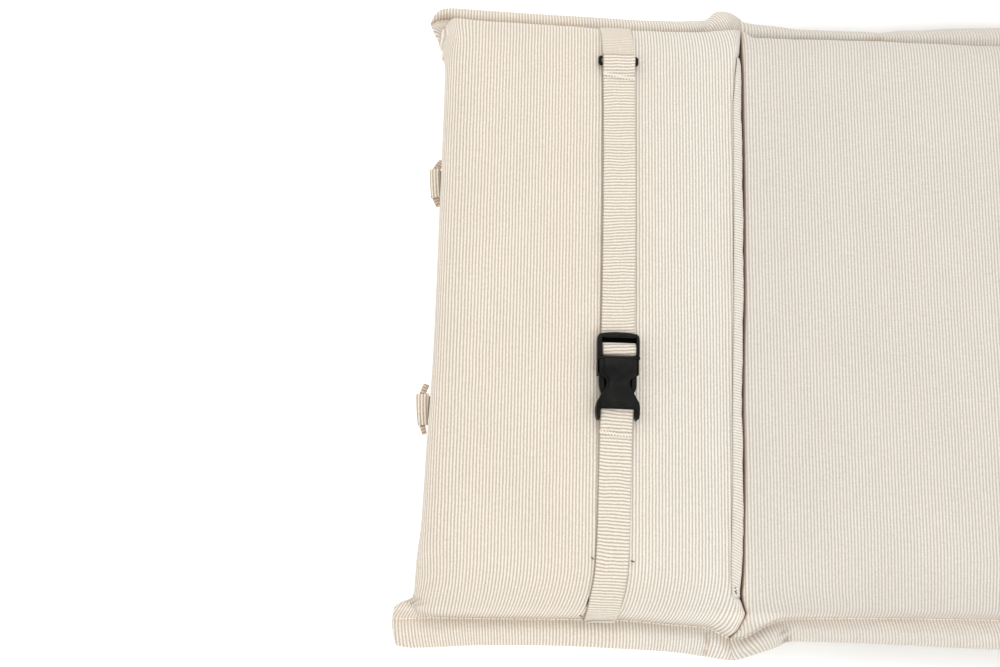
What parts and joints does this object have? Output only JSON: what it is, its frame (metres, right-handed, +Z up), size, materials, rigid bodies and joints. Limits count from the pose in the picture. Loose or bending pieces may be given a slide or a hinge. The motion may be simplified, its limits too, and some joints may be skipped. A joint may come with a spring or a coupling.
{
  "type": "high back chair cushion",
  "caption": "Long striped cushion for a high back garden chair, padded in a head, back and seat section, with soft flanges and a buckled strap on the head section.",
  "frame": {"origin": "centre of the cushion's outline, at the surface that it lies on", "axes": "+X from the head end to the seat end, +Y across the cushion, +Z up out of the side that carries the strap"},
  "size_m": [1.2396, 0.5255, 0.0727],
  "materials": {
    "cloth": "matt woven cloth with narrow cream and beige stripes",
    "tape": "matt woven tape with narrow stripes",
    "plastic": "satin black moulded plastic"
  },
  "bodies": {
    "root": {"cushion": "cloth", "crease_flap": "cloth", "loop_far": "tape", "loop_near": "tape", "tab_far": "tape", "strap_far": "tape", "strap_near": "tape", "ring_far": "plastic", "buckle_prongs": "plastic", "buckle_socket": "plastic"}
  },
  "joints": []
}
